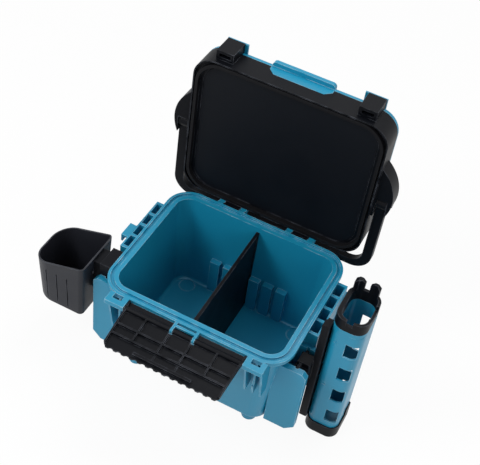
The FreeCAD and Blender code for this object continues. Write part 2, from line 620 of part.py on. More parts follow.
def make_latch():
    """The front latch, drawn flat: u runs from the pin towards -Y, ribs point up."""
    def reach(u):
        return f"-latch_y - ({u})"

    low = "latch_z - latch_low"
    face = f"{low} + latch_plate"
    ribs_top = f"{face} + latch_rib"
    narrow = "latch_half - latch_narrow"
    plate = prism("LatchPlate", "XY_Plane", low, "latch_plate",
                  [("-latch_half", reach("-latch_heel")), ("latch_half", reach("-latch_heel")),
                   (narrow, reach("latch_length - latch_corner")),
                   (f"{narrow} - latch_corner", reach("latch_length")),
                   (f"-({narrow} - latch_corner)", reach("latch_length")),
                   (f"-({narrow})", reach("latch_length - latch_corner"))])
    parts = [plate]
    side = prism("LatchSide", "XY_Plane", low, "latch_plate + latch_rib",
                 [("latch_half - latch_wall", reach("-latch_heel")),
                  ("latch_half", reach("-latch_heel")),
                  (narrow, reach("latch_length - latch_corner")),
                  (f"{narrow} - latch_wall", reach("latch_length - latch_corner"))])
    parts += both_sides("LatchSide", side)
    for name, u, half, thick in (("Inner", "inner_cross_rib", f"{narrow} - 1", "latch_wall"),
                                 ("Outer", "outer_cross_rib", f"{narrow} - 1", "latch_wall"),
                                 ("Hook", "hook_at + hook_thick / 2", "hook_half", "hook_thick")):
        parts.append(box("CrossRib" + name, span(half),
                         (reach(f"{u} + {thick} / 2"), reach(f"{u} - {thick} / 2")),
                         (low, ribs_top)))
    for name, x, first, last, top in (
            ("Outer", "long_rib", "0", "outer_cross_rib", ribs_top),
            ("Arm", "loop_x", "2 * latch_barrel", "outer_cross_rib", ribs_top),
            ("Low", "loop_x", "outer_cross_rib", "hook_at", f"{face} + low_rib")):
        rib = box("LongRib" + name, (f"{x} - latch_wall / 2", f"{x} + latch_wall / 2"),
                  (reach(last), reach(first)), (low, top))
        parts += both_sides(rib.Name, rib)
    for side in (1, -1):
        start = "loop_x + loop_arm / 2 + slot_play" if side > 0 else "-latch_half"
        parts.append(cylinder(f"LatchBarrel{side}".replace("-", "m"), "x",
                              (start, "-latch_y", "latch_z"), "latch_barrel",
                              "latch_half - loop_x - loop_arm / 2 - slot_play"))
    parts.append(cylinder("LatchBarrelMid", "x",
                          ("-loop_x + loop_arm / 2 + slot_play", "-latch_y", "latch_z"),
                          "latch_barrel", "2 * (loop_x - loop_arm / 2 - slot_play)"))
    whole = fuse("LatchWhole", *parts)

    tools = []
    for side in (1, -1):
        middle = f"{side} * loop_x"
        tools.append(box(f"ArmSlot{side}".replace("-", "m"),
                         (f"{middle} - loop_arm / 2 - slot_play",
                          f"{middle} + loop_arm / 2 + slot_play"),
                         (reach("loop_eye + 1.2"), reach("-latch_heel - 1")),
                         ("latch_z - 12", "latch_z + 12")))
    ridges = int(2 * value("latch_half") / SIZES["grip_pitch"]) - 1
    for i in range(ridges):
        x = f"({i} - {(ridges - 1) / 2}) * grip_pitch"
        tools.append(cylinder(f"GripDip{i}", "z", (x, reach("latch_length + grip_radius - grip_bite"), low),
                              "grip_radius", "latch_plate + latch_rib"))
    tools.append(cylinder("LatchPinBore", "x", ("-latch_half - 1", "-latch_y", "latch_z"),
                          "pin_radius + pin_play", "2 * latch_half + 2"))
    node("latch_panel", cut("Latch", whole, *tools), ("-latch_droop", "-latch_y", "latch_z"))


def make_pins():
    """Steel pins of the latch and of the two lid hinges."""
    right = cylinder("LatchPinRight", "x", ("loop_x - loop_arm / 2", "-latch_y", "latch_z"),
                     "pin_radius", "ear_outer - loop_x + loop_arm / 2 - 1")
    node("latch_pin_right", right)
    node("latch_pin_left", mirrored("LatchPinLeft", right))
    hinge = cylinder("HingePinRight", "x",
                     ("hinge_x - hinge_wide / 2 + 1", "hinge_y", "hinge_z"), "hinge_pin",
                     "hinge_wide - 2")
    node("hinge_pin_right", hinge)
    node("hinge_pin_left", mirrored("HingePinLeft", hinge))


def make_lid_frame():
    outside = lid_block("FrameOutside", "0", ("lid_low", "frame_top"))
    bay = lid_block("FrameBay", "skirt_wall", ("lid_low - 1", "lid_under"))
    hollow = lid_block("FrameHollow", "frame_wall", ("lid_under + web_thick", "frame_top + 1"))
    recess = rounded("PanelRecess", span("panel_half", "panel_gap"),
                     span("panel_front", "panel_gap"),
                     ("lid_under - 1", "lid_under + panel_thick"), "panel_radius + panel_gap")
    window = rounded("FrameWindow", span("panel_half - window_margin"),
                     span("panel_front - window_margin"),
                     ("lid_under", "lid_under + web_thick + 1"), "window_radius")
    ring = seal_ring("SealGroove", "0", ("lid_under - 1", "lid_under + seal_depth"))
    added = [outside]
    added += both_sides("Knuckle", make_lid_knuckle())
    added += both_sides("Boss", make_boss())
    added += both_sides("Block", box("BlockBody", ("block_inner", "block_outer"),
                                     ("-block_front", "-lid_front + 2"), ("block_low", "block_top")))
    scoop = apron("TongueScoop", "seal_gap", "1")
    tools = [bay, hollow, recess, window, ring, scoop]
    pocket = box("BlockPocket", ("block_inner + pocket_inset", "block_outer - pocket_inset"),
                 ("-block_front + pocket_inset", "-lid_front - pocket_inset"),
                 ("block_low - 1", "block_low + pocket_deep"))
    slot = box("ArmSlotBoss", ("arm_inner - slot_gap", "arm_outer + slot_gap"),
               ("pivot_y - hub_radius - 1.5", "boss_rear + 1"), ("boss_low - 1", "boss_top + 1"))
    pivot = cylinder("PivotBore", "x", ("lid_half - frame_wall - 1", "pivot_y", "pivot_z"),
                     "pivot_pin", "boss_reach - lid_half + frame_wall + 2")
    bore = cylinder("KnuckleBore", "x",
                    ("hinge_x - hinge_wide / 2", "hinge_y", "hinge_z"),
                    "hinge_pin + hinge_play", "hinge_wide")
    for piece in (pocket, slot, pivot, bore):
        tools += both_sides(piece.Name, piece)
    return cut("LidFrame", fuse("LidFrameWhole", *added), *tools)


def lid_block(name, less, z, crest=None):
    """A block with the lid's outline made smaller by less."""
    return rounded(name, span("lid_half", f"-({less})"),
                   (f"-lid_front + {less}", f"lid_rear - {less}"), z, f"lid_radius - {less}",
                   crest=crest)


def apron(name, grow, out):
    """The cover's front panel below the tongue, or the scoop that it lies in."""
    half = f"(tongue_half + {grow})"
    low = f"apron_low - {grow}"
    return prism(name, "XZ_Plane", f"lid_front - frame_wall - {out}", f"frame_wall + 2 * {out}",
                 [(f"-{half} + apron_bevel", low), (f"{half} - apron_bevel", low),
                  (half, f"{low} + apron_bevel"), (half, "frame_top + 1"),
                  (f"-{half}", "frame_top + 1"), (f"-{half}", f"{low} + apron_bevel")])


def seal_ring(name, less, z):
    """The channel round the panel that lies over the rim's upstand."""
    inner = f"seal_inner + {less}"
    outer = f"seal_inner + seal_width - ({less})"
    return cut(name, rim_ring(name + "Outer", outer, z), rim_ring(name + "Inner", inner,
                                                                 (f"{z[0]} - 1", f"{z[1]} + 1")))


def make_lid_knuckle():
    start = "hinge_x - hinge_wide / 2 + cheek_thick + cheek_gap"
    wide = "hinge_wide - 2 * (cheek_thick + cheek_gap)"
    eye = cylinder("LidEye", "x", (start, "hinge_y", "hinge_z"),
                   "knuckle_radius - knuckle_gap", wide)
    clear = f"open_depth / 2 + {RIM_REACH} + rim_clear"
    back = "hinge_y + knuckle_radius - knuckle_gap"
    top = "lid_under + 1.5 * web_thick"
    arm = box("LidArm", (start, f"{start} + {wide}"), (clear, back), ("hinge_z", top))
    head = box("LidArmHead", (start, f"{start} + {wide}"), ("lid_rear - frame_wall", back),
               ("lid_low", top))
    return fuse("LidKnuckle", eye, arm, head)


def make_boss():
    """Half-moon shroud on the lid's side that takes the handle's hub."""
    disc = cylinder("BossDisc", "z", ("boss_reach - boss_bulge", "boss_mid", "boss_low"),
                    "boss_bulge", "boss_top - boss_low")
    keep = box("BossKeep", ("lid_half - 1", "boss_reach + 1"), ("-boss_front", "boss_rear"),
               ("boss_low", "boss_top"))
    return common("Boss", disc, keep)


def make_lid_cover():
    low = "frame_top + cover_gap"
    dome = lid_block("CoverDome", "0", (low, "cover_top"), "cover_round")
    tongue = rounded("Tongue", span("tongue_half"), ("-tongue_front", "-lid_front + cover_round"),
                     ("tongue_low", "tongue_top"), "tongue_round", lambda c: c.y < 1)
    lip = box("BlockLip", ("block_inner - tab_lip", "block_outer + 1"),
              ("-block_front + 1", "-lid_front + cover_round"),
              ("block_top + cover_gap", "cover_top - 1"))
    added = [dome, tongue, *both_sides("BlockLip", lip)]
    hollow = lid_block("CoverHollow", "frame_wall", (f"{low} - 1", "cover_top - top_thick"))
    notch = box("BlockNotch", ("block_inner - seal_gap", "block_outer + seal_gap"),
                ("-lid_front - 1", "-lid_front + 2 + seal_gap"),
                (f"{low} - 1", "block_top + cover_gap"))
    sink = rounded("SeatSink", span("lid_half - seat_margin"), span("lid_front - seat_margin"),
                   ("cover_top - seat_sink", "cover_top + 1"), "seat_radius")
    treads = [box(f"Tread{i}", span("lid_half - seat_margin - tread_margin"),
                  (f"({i} - (tread_count - 1) / 2) * tread_pitch - tread_wide / 2",
                   f"({i} - (tread_count - 1) / 2) * tread_pitch + tread_wide / 2"),
                  ("cover_top - seat_sink - 0.5", "cover_top"))
              for i in range(SIZES["tread_count"])]
    shell = cut("CoverShell", fuse("CoverWhole", *added), hollow, sink,
                *both_sides("BlockNotch", notch))
    return fuse("LidCover", shell, apron("TongueApron", "0", "0"), *treads)


def make_lid():
    panel = rounded("LidPanel", span("panel_half"), span("panel_front"),
                    ("lid_under", "lid_under + panel_thick"), "panel_radius")
    seal = seal_ring("LidSeal", "seal_play", ("rim_height + seal_gap", "lid_under + seal_depth"))
    pin = cylinder("HandlePin", "x", ("lid_half - frame_wall", "pivot_y", "pivot_z"),
                   "pivot_pin", "boss_reach - lid_half + frame_wall - 0.5")
    for label, piece in (("lid_frame", make_lid_frame()), ("lid_cover", make_lid_cover()),
                         ("lid_panel", panel), ("lid_seal", seal), ("handle_pin_right", pin),
                         ("handle_pin_left", mirrored("HandlePinMirror", pin))):
        node(label, piece, OPEN_LID)


def make_handle():
    """The bail, drawn folded back round the lid's rear edge."""
    z = ("pivot_z - arm_height / 2", "pivot_z + arm_height / 2")
    outer = rounded("HandleOuter", span("arm_outer"), ("pivot_y", "handle_rear"), z,
                    "handle_round", lambda c: c.y > 1)
    inner = rounded("HandleInner", span("arm_inner"), ("pivot_y - 20", "handle_rear - bar_width"),
                    (f"{z[0]} - 1", f"{z[1]} + 1"), "handle_round - bar_width", lambda c: c.y > 1)
    grip = rounded("HandleGrip", span("grip_half"),
                   ("handle_rear - bar_width - grip_grow", "handle_rear + grip_grow"),
                   (f"{z[0]} - grip_grow", f"{z[1]} + grip_grow"), "grip_round")
    hub = cylinder("HandleHub", "x", ("arm_inner", "pivot_y", "pivot_z"), "hub_radius",
                   "arm_outer - arm_inner")
    bore = cylinder("HandleBore", "x", ("-arm_outer - 1", "pivot_y", "pivot_z"),
                    "pivot_pin + pivot_play", "2 * arm_outer + 2")
    bail = fuse("Bail", cut("BailBow", outer, inner), grip, *both_sides("HandleHub", hub))
    node("handle_bail", cut("Handle", bail, bore), OPEN_LID)


def bay_plug(name, outer, top):
    """The black block that slides down into a side's accessory bay."""
    y = ("-fin_front + fin_thick + bay_gap", "-mid_fin_y - bay_gap")
    core = box(name + "Core", (f"open_width / 2 + {RIM_REACH} + bay_gap", outer), y,
               ("shelf_top + bay_gap", top))
    tongues = box(name + "Tongues",
                  ("bay_groove_x + bay_gap", "bay_groove_x + bay_groove_wide - bay_gap"),
                  (f"{y[0]} - bay_groove_deep", f"{y[1]} + bay_groove_deep"),
                  ("shelf_top + bay_gap", "fin_top - 4"))
    return [core, tongues]


def make_cup():
    """Drink holder with a sloping rim, hung from the left bay."""
    x = ("cup_inner", "cup_outer")
    y = ("-cup_front", "-cup_rear")

    def section(height, less):
        return (height, (f"{x[0]} + {less}", f"{x[1]} - ({less})"),
                (f"{y[0]} + {less}", f"{y[1]} - ({less})"))

    outside = tapered("CupOutside", section("cup_base", "cup_taper"),
                      section("cup_high", "0"), "cup_radius", "cup_fillet", "cup_round")
    inside = tapered("CupInside", section("cup_base + cup_floor", "cup_taper + cup_wall"),
                     section("cup_high + 1", "cup_wall"), "cup_radius - cup_wall",
                     "cup_fillet - cup_wall", "cup_round - cup_wall")
    slope = prism("CupSlope", "XZ_Plane", "0", "cup_front + 20",
                  [("cup_inner + 5", "cup_high"), ("cup_outer", "cup_low"),
                   ("cup_outer + 5", "cup_low"), ("cup_outer + 5", "cup_high + 5"),
                   ("cup_inner + 5", "cup_high + 5")])
    flutes = []
    for i in range(3):
        start = f"cup_inner + flute_first + {i} * flute_pitch"
        flutes.append(box(f"CupFlute{i}", (start, f"{start} + flute_wide"),
                          ("-cup_front - 1", "-cup_front + cup_taper + flute_deep"),
                          ("cup_base + 10", "cup_low - 8")))
    slot = box("CupSlot", ("cup_inner - 1", "cup_inner + cup_taper + cup_wall + 1"),
               ("-cup_front + 30", "-cup_rear - 26"), ("cup_high - 34", "cup_high - 24"))
    cup = cut("CupRight", outside, inside, slope, slot, *flutes)
    node("cup_holder", mirrored("CupLeft", cup))
    plate = box("CupPlate", ("cup_plug - 1", "cup_inner + cup_taper"),
                ("-fin_front + fin_thick + bay_gap + 4", "-mid_fin_y - bay_gap - 4"),
                ("cup_strap_low", "cup_plug_top - 6"))
    bracket = fuse("CupBracketRight", *bay_plug("CupPlug", "cup_plug", "cup_plug_top"), plate)
    trimmed = cut("CupBracketTrim", bracket, outside)
    node("cup_bracket", mirrored("CupBracketLeft", trimmed))


def make_rod_stand():
    """Tower, crown, foot cap and the bracket that hangs them in the right bay."""
    x, y = ("stand_left", "stand_right"), ("-stand_front", "stand_back")
    collar_x = ("collar_left", "stand_right")
    collar_y = ("-stand_front - collar_grow", "stand_back + collar_grow")
    collar_top = "stand_top + collar_thick"

    def inset(pair, less):
        return f"{pair[0]} + {less}", f"{pair[1]} - {less}"

    tube = rounded("TowerTube", x, y, ("stand_base", "stand_top"), "stand_round")
    collar = rounded("TowerCollar", collar_x, collar_y, ("stand_top", collar_top),
                     "collar_round")
    bore = rounded("TowerBore", inset(x, "stand_wall"), inset(y, "stand_wall"),
                   ("stand_base + 4", f"{collar_top} + 1"), "stand_round - stand_wall")
    gates = []
    for i in range(4):
        low = f"gate_first - {i} * gate_pitch"
        gates.append(box(f"Gate{i}", ("gate_left", "stand_right - gate_wall"),
                         ("-stand_front - 10", "stand_back + 10"),
                         (low, f"{low} + gate_height")))
    notches = [box(f"Notch{i}", ("stand_left + 4", "stand_left + stand_round"),
                   ("-stand_front - 1", "-stand_front + notch_deep"), (z, f"{z} + notch_high"))
               for i, z in enumerate(("gate_first + gate_height - notch_high",
                                      "gate_first - 2 * gate_pitch + gate_height"))]
    node("rod_tower", cut("Tower", fuse("TowerWhole", tube, collar), bore, *gates, *notches))

    crown_top = f"{collar_top} + crown_height"
    parts = [rounded("CrownRing", collar_x, collar_y, (collar_top, crown_top), "collar_round")]
    tip = f"{crown_top} + prong_height"
    for name, start in (("Left", "collar_left + prong_inset / 2"),
                        ("Right", "stand_right - prong_wide - prong_inset")):
        end = f"{start} + prong_wide"
        parts.append(prism("Prong" + name, "XZ_Plane", "-stand_back - collar_grow",
                           "prong_deep",
                           [(start, f"{crown_top} - 1"), (end, f"{crown_top} - 1"),
                            (end, f"{tip} - prong_bevel"), (f"{end} - prong_bevel", tip),
                            (f"{start} + prong_bevel", tip),
                            (start, f"{tip} - prong_bevel")]))
    void = rounded("CrownVoid", ("collar_left + crown_left_wall", "stand_right - crown_wall"),
                   inset(collar_y, "crown_wall"), (f"{collar_top} - 1", f"{tip} + 1"),
                   "collar_round - crown_wall")
    dips = [box("CrownDipSide", ("stand_right - collar_round", "stand_right + 1"),
                ("-stand_front + dip_end", "stand_back - dip_end"),
                (f"{crown_top} - crown_dip", f"{crown_top} + 1")),
            box("CrownDipFront", ("collar_left + dip_end", "stand_right - dip_end"),
                ("-stand_front - collar_grow - 1", "-stand_front + crown_wall + 1"),
                (f"{crown_top} - crown_dip", f"{crown_top} + 1"))]
    node("rod_crown", cut("Crown", fuse("CrownWhole", *parts), void, *dips))

    post = box("Post", ("post_left", "stand_left - fit_gap"),
               ("-post_front", "-post_front + post_depth"), ("post_low", "stand_top"))
    web = box("PostWeb", ("rail_outer + 2", "post_left + 2"),
              ("-fin_front + fin_thick + bay_gap", "-post_front + post_depth"),
              ("shelf_top + bay_gap", "bracket_top"))
    clear = box("WebClear", ("rail_inner", "mid_fin_reach + 0.5"),
                ("-mid_fin_y - bay_gap", "-mid_fin_y + mid_fin_thick + 20"),
                ("post_low - 1", "stand_top + 1"))
    step = box("PlugStep", ("rail_inner + 6", "post_left + 1"),
               ("-fin_front + fin_thick + bay_gap + 12", "-mid_fin_y - bay_gap - 6"),
               ("bracket_top - 1", "bracket_top + step_high"))
    arm = fuse("BracketWhole", *bay_plug("RodPlug", "post_left + 1", "bracket_top"), web, post,
               step)
    node("rod_bracket", cut("RodBracket", arm, clear))

    cap = rounded("CapOut", ("stand_left - cap_wall", "stand_right + cap_wall"),
                  ("-stand_front - cap_wall", "stand_back + cap_wall"), ("0", "cap_height"),
                  "stand_round + cap_wall")
    heel_y = "stand_back - stand_round - heel_wide / 2"
    heel = box("CapHeel", ("stand_right - 1", "stand_right + cap_wall"),
               (f"{heel_y} - heel_wide / 2", f"{heel_y} + heel_wide / 2"),
               ("cap_height - 1", "cap_height + heel_high"))
    core = rounded("CapCore", x, y, ("stand_base", "cap_height + heel_high + 1"), "stand_round")
    node("rod_foot", cut("RodFoot", fuse("CapWhole", cap, heel), core))


make_tub()
make_feet()
make_rails()
make_divider()
make_latch()
make_pins()
make_lid()
make_handle()
make_cup()
make_rod_stand()
doc.recompute()

faulty = [o.Label for o in doc.Objects if {"Invalid", "Error"} & set(o.State)]
for label, thing in NODES.items():
    shape = thing.Shape
    if shape.isNull() or not shape.isValid():
        faulty.append(label)
if faulty:
    raise SystemExit("faulty objects: " + ", ".join(faulty))

os.makedirs("parts", exist_ok=True)
for label, thing in NODES.items():
    thing.Shape.exportStep(f"parts/{label}.step")
    b = thing.Shape.BoundBox
    print(f"{label:16s} solids {len(thing.Shape.Solids)}  x {b.XMin:.1f}..{b.XMax:.1f}"
          f"  y {b.YMin:.1f}..{b.YMax:.1f}  z {b.ZMin:.1f}..{b.ZMax:.1f}")
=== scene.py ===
"""A fishing seat box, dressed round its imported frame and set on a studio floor.

Each CAD node is stood for by a copy with moulded, rounded edges and a finish of
its own; small repeated details come from Geometry Nodes.  Metres throughout.
"""
import json
import math

import bmesh
import bpy
from bpy.props import FloatProperty, FloatVectorProperty, IntProperty, PointerProperty
from mathutils import Matrix, Vector

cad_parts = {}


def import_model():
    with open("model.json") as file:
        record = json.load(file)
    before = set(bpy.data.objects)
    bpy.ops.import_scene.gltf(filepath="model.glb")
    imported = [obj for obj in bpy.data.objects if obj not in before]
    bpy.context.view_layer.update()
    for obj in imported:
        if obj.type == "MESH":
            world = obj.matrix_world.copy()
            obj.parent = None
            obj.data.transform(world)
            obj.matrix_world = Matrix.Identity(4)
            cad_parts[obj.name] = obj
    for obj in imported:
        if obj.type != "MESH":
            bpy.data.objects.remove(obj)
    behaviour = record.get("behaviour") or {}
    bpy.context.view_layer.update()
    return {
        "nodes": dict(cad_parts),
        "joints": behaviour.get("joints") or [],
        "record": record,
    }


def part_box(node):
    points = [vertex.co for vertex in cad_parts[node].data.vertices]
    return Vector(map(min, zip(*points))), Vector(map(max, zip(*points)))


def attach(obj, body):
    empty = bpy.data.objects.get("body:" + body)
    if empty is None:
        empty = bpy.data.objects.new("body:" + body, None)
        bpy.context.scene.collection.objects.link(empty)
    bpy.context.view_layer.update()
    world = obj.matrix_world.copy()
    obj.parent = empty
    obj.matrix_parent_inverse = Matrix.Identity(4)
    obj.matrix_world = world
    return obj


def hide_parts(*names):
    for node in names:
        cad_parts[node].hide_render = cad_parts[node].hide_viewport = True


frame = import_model()

bl_info = {
    "name": "Fishing seat box",
    "version": (1, 0, 0),
    "blender": (4, 5, 0),
    "location": "3D View > Sidebar > Seat Box",
    "description": "Finishes and studio for a fishing seat box",
    "category": "Object",
}

HINGE = next(j for j in frame["joints"] if j["name"] == "lid_hinge")

# turns what is laid out on the closed lid to where the lid stands at rest, open
LID_OPEN = (Matrix.Translation(HINGE["pos_m"])
            @ Matrix.Rotation(math.radians(-HINGE["range_deg"][1]), 4, "X")
            @ Matrix.Translation(-Vector(HINGE["pos_m"])))

# the seat's sunk face on the closed lid, with a row of studs between each pair of treads
SEAT_MIDDLE_Y = 0.00515
SEAT_HEIGHT = 0.2454
SEAT_ROWS = 6
SEAT_ROW_STEP = 0.026
STUD_STEP = 0.013

# the drink holder's floor above its base, and the ribs on it
CUP_FLOOR = 0.003
CUP_RIB_STEP = 0.011
CUP_RIB_WIDTH = 0.0022
CUP_RIB_LENGTH = 0.044
CUP_RIB_HEIGHT = 0.002
CUP_RIB_EDGE = 0.0004

# how near points are merged, and how far a face may lean and still count as flat
MERGE_DISTANCE = 2e-6
FLAT_ANGLE = math.radians(0.6)

# an edge that turns by more than this is rounded, in so many steps
EDGE_ANGLE = math.radians(32)
EDGE_SEGMENTS = 3
RIB_SEGMENTS = 2
STUD_SEGMENTS = 10
STUD_RINGS = 6

# the rounding of these pieces, as shares of the two named edges
CUP_EDGE_SHARE = 0.8
HANDLE_EDGE_SHARE = 2
PIN_EDGE_SHARE = 0.5

# the grain's relief in metres and its strength, and how the gloss and the colour vary
GRAIN_RELIEF = 0.00004
GRAIN_STRENGTH = 0.6
GRAIN_DETAIL = 2.0
BROAD_SHARE = 0.02
BROAD_DETAIL = 3.0
GLOSS_SPREAD = 0.22
WORN_DULLNESS = 0.12
MOTTLE_DETAIL = 5.0

# how sharply the wear and painted highlight on an edge set in at a bend, and the noise that
# breaks them into patches
WEAR_AND_HIGHLIGHT_SHARPNESS = 7.0
PATCH_SCALE = 55.0
PATCH_DETAIL = 4.0
PATCH_START = 0.38
PATCH_CONTRAST = 3.5

# what the studio's white ground and sky give as light, and as a picture
WORLD_LIGHT = 0.4
FLOOR_GLOW = 0.93
FLOOR_PALE = 0.9
FLOOR_DROP = 0.0005
FLOOR_HALF = 6

# each lamp's name, place, size and power, all turned to the middle of the box
LAMP_AIM = (0, 0, 0.2)
LAMPS = (("key", (-1.3, -1.2, 2.0), 1.0, 30),
         ("fill", (1.8, -1.2, 1.4), 1.2, 8),
         ("top", (0.2, 0.9, 2.4), 1.2, 20))

# the photograph's frame and the camera that took it, solved from points on the box
PICTURE_WIDTH = 480
FOCAL_PIXELS = 1012.68
SENSOR_WIDTH = 36
CAMERA_TURN = math.radians(20.4928)
CAMERA_RISE = math.radians(45.9167)
CAMERA_ROLL = math.radians(8.9337)
CAMERA_AIM = (0.0004, 0.08735, 0.194)
CAMERA_AWAY = 1.5718


def srgb(red, green, blue):
    """A picture colour of 0 to 255 as the linear colour that a shader takes."""
    def linear(level):
        level /= 255
        return level / 12.92 if level <= 0.04045 else ((level + 0.055) / 1.055) ** 2.4
    return linear(red), linear(green), linear(blue)


class SeatBoxSizes(bpy.types.PropertyGroup):
    edge: FloatProperty(name="Edge", description="Rounding of moulded edges",
                        default=0.0011, unit="LENGTH")
    fine_edge: FloatProperty(name="Fine edge", description="Rounding of thin ribs",
                             default=0.0006, unit="LENGTH")
    grain: FloatProperty(name="Grain", description="Size of the moulded grain",
                         default=0.0009, unit="LENGTH")
    # how far in from an edge the pale colour reaches, which is partly wear and partly a painted
    # highlight
    wear_and_highlight: FloatProperty(name="Wear", description="How far wear reaches in from an edge",
                        default=0.0018, unit="LENGTH")
    stud_radius: FloatProperty(name="Stud radius", description="Non-slip studs of the seat",
                               default=0.0022, unit="LENGTH")
    stud_height: FloatProperty(name="Stud height", description="Rise of a seat stud",
                               default=0.0009, unit="LENGTH")
    stud_columns: IntProperty(name="Stud columns", description="Studs in one row of the seat",
                              default=17)
    rib_count: IntProperty(name="Cup ribs", description="Ribs on the drink holder's floor",
                           default=5)


class SeatBoxColours(bpy.types.PropertyGroup):
    blue: FloatVectorProperty(name="Blue", description="Tub, lid cover and rod tower",
                              subtype="COLOR", default=srgb(24, 140, 176))
    black: FloatVectorProperty(name="Black", description="Lid frame, latch and fittings",
                               subtype="COLOR", default=srgb(11, 13, 18))
    panel: FloatVectorProperty(name="Panel", description="Inner panel of the lid",
                               subtype="COLOR", default=srgb(12, 15, 21))
    rubber: FloatVectorProperty(name="Rubber", description="Seal and foot pads",
                                subtype="COLOR", default=srgb(15, 15, 18))
    # the drink holder's black plastic made paler, a painted light for its front faces that turn
    # to the lamps
    cup_painted_lit: FloatVectorProperty(name="Cup", description="Drink holder",
                             subtype="COLOR", default=srgb(36, 38, 45))
    steel: FloatVectorProperty(name="Steel", description="Pins",
                               subtype="COLOR", default=srgb(175, 176, 180))


# shader groups

def new_group(name, inputs, outputs):
    """An empty shader group; inputs are (name, default) and outputs names."""
    tree = bpy.data.node_groups.new(name, "ShaderNodeTree")
    for label, default in inputs:
        kind = "NodeSocketVector" if default is None else "NodeSocketFloat"
        socket = tree.interface.new_socket(label, in_out="INPUT", socket_type=kind)
        if default is not None:
            socket.default_value = default
    for label in outputs:
        tree.interface.new_socket(label, in_out="OUTPUT", socket_type="NodeSocketFloat")
    return tree, tree.nodes.new("NodeGroupInput"), tree.nodes.new("NodeGroupOutput")


def math_node(tree, operation, first, second, clamp=False):
    node = tree.nodes.new("ShaderNodeMath")
    node.operation = operation
    node.use_clamp = clamp
    for socket, source in zip(node.inputs, (first, second)):
        if isinstance(source, (int, float)):
            socket.default_value = source
        else:
            tree.links.new(source, socket)
    return node.outputs[0]


def noise_node(tree, vector, scale, detail):
    node = tree.nodes.new("ShaderNodeTexNoise")
    node.inputs["Detail"].default_value = detail
    tree.links.new(vector, node.inputs["Vector"])
    if isinstance(scale, (int, float)):
        node.inputs["Scale"].default_value = scale
    else:
        tree.links.new(scale, node.inputs["Scale"])
    return node.outputs[0]


def grain_group():
    """Fine moulded grain: a height, and the way it spreads the gloss."""
    tree, given, out = new_group("Moulded grain", (("Vector", None), ("Size", 0.001)),
                                 ("Height", "Spread"))
    scale = math_node(tree, "DIVIDE", 1.0, given.outputs["Size"])
    fine = noise_node(tree, given.outputs["Vector"], scale, GRAIN_DETAIL)
    tree.links.new(fine, out.inputs["Height"])
    broad = noise_node(tree, given.outputs["Vector"],
                       math_node(tree, "MULTIPLY", scale, BROAD_SHARE), BROAD_DETAIL)
    spread = math_node(tree, "SUBTRACT", broad, 0.5)
    tree.links.new(spread, out.inputs["Spread"])
    return tree


def wear_and_highlight_group():
    """A mask of the outer edges, broken up by noise: partly wear, partly a painted highlight.
    """
    tree, given, out = new_group("Rubbed edge and painted highlight", (("Vector", None), ("Reach", 0.001),
                                               ("Strength", 1.0)), ("Mask",))
    soft = tree.nodes.new("ShaderNodeBevel")
    soft.samples = 4
    tree.links.new(given.outputs["Reach"], soft.inputs["Radius"])
    true = tree.nodes.new("ShaderNodeNewGeometry")
    dot = tree.nodes.new("ShaderNodeVectorMath")
    dot.operation = "DOT_PRODUCT"
    tree.links.new(soft.outputs[0], dot.inputs[0])
    tree.links.new(true.outputs["Normal"], dot.inputs[1])
    bent = math_node(tree, "SUBTRACT", 1.0, dot.outputs["Value"])
    bent = math_node(tree, "MULTIPLY", bent, WEAR_AND_HIGHLIGHT_SHARPNESS, clamp=True)
    patches = noise_node(tree, given.outputs["Vector"], PATCH_SCALE, PATCH_DETAIL)
    patches = math_node(tree, "SUBTRACT", patches, PATCH_START)
    patches = math_node(tree, "MULTIPLY", patches, PATCH_CONTRAST, clamp=True)
    mask = math_node(tree, "MULTIPLY", bent, patches)
    mask = math_node(tree, "MULTIPLY", mask, given.outputs["Strength"], clamp=True)
    tree.links.new(mask, out.inputs["Mask"])
    return tree


def mottle_group():
    """Slow unevenness of a moulded colour, round zero."""
    tree, given, out = new_group("Mottle", (("Vector", None), ("Scale", 9.0),
                                            ("Amount", 0.1)), ("Value",))
    cloud = noise_node(tree, given.outputs["Vector"], given.outputs["Scale"], MOTTLE_DETAIL)
    centred = math_node(tree, "SUBTRACT", cloud, 0.5)
    tree.links.new(math_node(tree, "MULTIPLY", centred, given.outputs["Amount"]),
                   out.inputs["Value"])
    return tree


def group_node(tree, name, vector, **values):
    node = tree.nodes.new("ShaderNodeGroup")
    node.node_tree = bpy.data.node_groups[name]
    tree.links.new(vector, node.inputs["Vector"])
    for label, number in values.items():
        node.inputs[label].default_value = number
    return node


